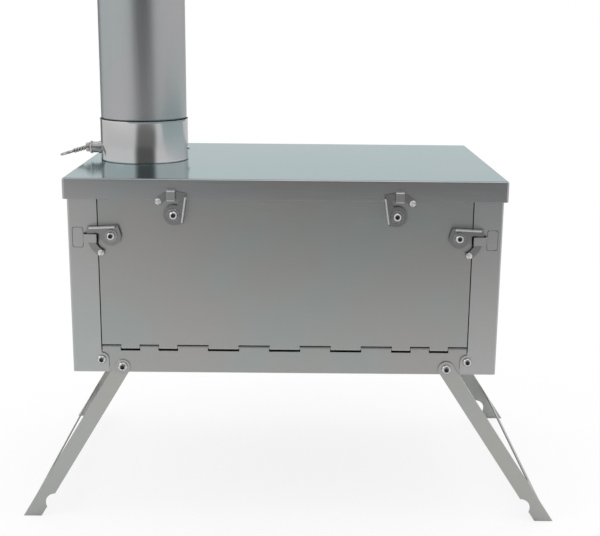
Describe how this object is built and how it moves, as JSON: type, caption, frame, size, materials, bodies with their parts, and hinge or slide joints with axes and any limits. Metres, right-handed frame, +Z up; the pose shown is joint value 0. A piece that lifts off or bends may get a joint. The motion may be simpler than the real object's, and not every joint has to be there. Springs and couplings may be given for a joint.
{
  "type": "tent wood stove",
  "caption": "Folding sheet-steel tent wood stove on hinged splayed leg frames, with a latched lid, an end door with air slider, and a flue collar with butterfly damper and chimney pipe.",
  "frame": {"origin": "on the ground, midway between the outermost points of the feet", "axes": "+X right along the stove with the flue at its left end, +Y away from the viewer, +Z up"},
  "size_m": [0.484, 0.2682, 0.6439],
  "materials": {
    "body_steel": "satin",
    "lid_steel": "semi-gloss",
    "pipe_steel": "semi-gloss",
    "bright_steel": "polished",
    "leg_steel": "satin",
    "wire_steel": "satin",
    "knob_steel": "satin"
  },
  "bodies": {
    "stove": {"base_tray": "body_steel", "front_panel": "body_steel", "back_panel": "body_steel", "front_hinge_pin": "bright_steel", "back_hinge_pin": "bright_steel", "latch_screw_front_left": "bright_steel", "latch_screw_front_top_left": "bright_steel", "latch_screw_front_top_right": "bright_steel", "latch_screw_front_right": "bright_steel", "latch_screw_back_left": "bright_steel", "latch_screw_back_top_left": "bright_steel", "latch_screw_back_top_right": "bright_steel", "latch_screw_back_right": "bright_steel", "corner_screw_front_left": "bright_steel", "corner_screw_front_right": "bright_steel", "corner_screw_back_left": "bright_steel", "corner_screw_back_right": "bright_steel", "leg_bolt_front_left": "bright_steel", "leg_bolt_front_right": "bright_steel", "leg_bolt_back_left": "bright_steel", "leg_bolt_back_right": "bright_steel", "left_end_panel": "body_steel", "right_end_panel": "body_steel", "door_hinge_pin": "bright_steel", "lid": "lid_steel", "flue_collar": "pipe_steel", "damper_bush": "bright_steel", "grate": "body_steel"},
    "front_left_latch": {"latch_front_left": "body_steel"},
    "front_top_left_latch": {"latch_front_top_left": "body_steel"},
    "front_top_right_latch": {"latch_front_top_right": "body_steel"},
    "front_right_latch": {"latch_front_right": "body_steel"},
    "back_left_latch": {"latch_back_left": "body_steel"},
    "back_top_left_latch": {"latch_back_top_left": "body_steel"},
    "back_top_right_latch": {"latch_back_top_right": "body_steel"},
    "back_right_latch": {"latch_back_right": "body_steel"},
    "left_leg": {"left_leg_frame": "leg_steel"},
    "right_leg": {"right_leg_frame": "leg_steel"},
    "pipe": {"chimney_pipe": "pipe_steel"},
    "damper": {"damper_plate": "body_steel", "damper_shaft": "bright_steel", "damper_handle": "wire_steel"},
    "door": {"door": "body_steel", "slider_rivet_hinge_side": "bright_steel", "slider_rivet_free_side": "bright_steel"},
    "lever": {"door_lever": "body_steel", "door_knob": "knob_steel"},
    "slider": {"air_slider": "body_steel"}
  },
  "joints": [
    {"name": "front_left_latch_turn", "type": "hinge", "parent": "stove", "child": "front_left_latch", "pos_m": [-0.15318, -0.1265, 0.2631], "axis": [0, 1, 0], "range_deg": [0, 100]},
    {"name": "front_top_left_latch_turn", "type": "hinge", "parent": "stove", "child": "front_top_left_latch", "pos_m": [-0.09928, -0.1265, 0.2816], "axis": [0, 1, 0], "range_deg": [-11, 100]},
    {"name": "front_top_right_latch_turn", "type": "hinge", "parent": "stove", "child": "front_top_right_latch", "pos_m": [0.09132, -0.1265, 0.2816], "axis": [0, -1, 0], "range_deg": [-11, 100]},
    {"name": "front_right_latch_turn", "type": "hinge", "parent": "stove", "child": "front_right_latch", "pos_m": [0.14522, -0.1265, 0.2631], "axis": [0, -1, 0], "range_deg": [0, 100]},
    {"name": "back_left_latch_turn", "type": "hinge", "parent": "stove", "child": "back_left_latch", "pos_m": [0.14522, 0.1265, 0.2631], "axis": [0, -1, 0], "range_deg": [0, 100]},
    {"name": "back_top_left_latch_turn", "type": "hinge", "parent": "stove", "child": "back_top_left_latch", "pos_m": [0.09132, 0.1265, 0.2816], "axis": [0, -1, 0], "range_deg": [-11, 100]},
    {"name": "back_top_right_latch_turn", "type": "hinge", "parent": "stove", "child": "back_top_right_latch", "pos_m": [-0.09928, 0.1265, 0.2816], "axis": [0, 1, 0], "range_deg": [-11, 100]},
    {"name": "back_right_latch_turn", "type": "hinge", "parent": "stove", "child": "back_right_latch", "pos_m": [-0.15318, 0.1265, 0.2631], "axis": [0, 1, 0], "range_deg": [0, 100]},
    {"name": "left_leg_fold", "type": "hinge", "parent": "stove", "child": "left_leg", "pos_m": [-0.14668, 0, 0.145], "axis": [0, -1, 0], "range_deg": [0, 121]},
    {"name": "right_leg_fold", "type": "hinge", "parent": "stove", "child": "right_leg", "pos_m": [0.13872, 0, 0.145], "axis": [0, 1, 0], "range_deg": [0, 122]},
    {"name": "damper_turn", "type": "hinge", "parent": "stove", "child": "damper", "pos_m": [-0.14068, 0, 0.323], "axis": [1, 0, 0], "range_deg": [0, 90]},
    {"name": "pipe_lift", "type": "slide", "parent": "stove", "child": "pipe", "axis": [0, 0, 1], "range_m": [0, 0.06]},
    {"name": "door_swing", "type": "hinge", "parent": "stove", "child": "door", "pos_m": [0.18602, -0.0758, 0.219], "axis": [0, 0, -1], "range_deg": [0, 110]},
    {"name": "lever_turn", "type": "hinge", "parent": "door", "child": "lever", "pos_m": [0.18432, 0.058, 0.219], "axis": [-1, 0, 0], "range_deg": [0, 90]},
    {"name": "air_slide", "type": "slide", "parent": "door", "child": "slider", "axis": [0, 1, 0], "range_m": [0, 0.012]}
  ]
}
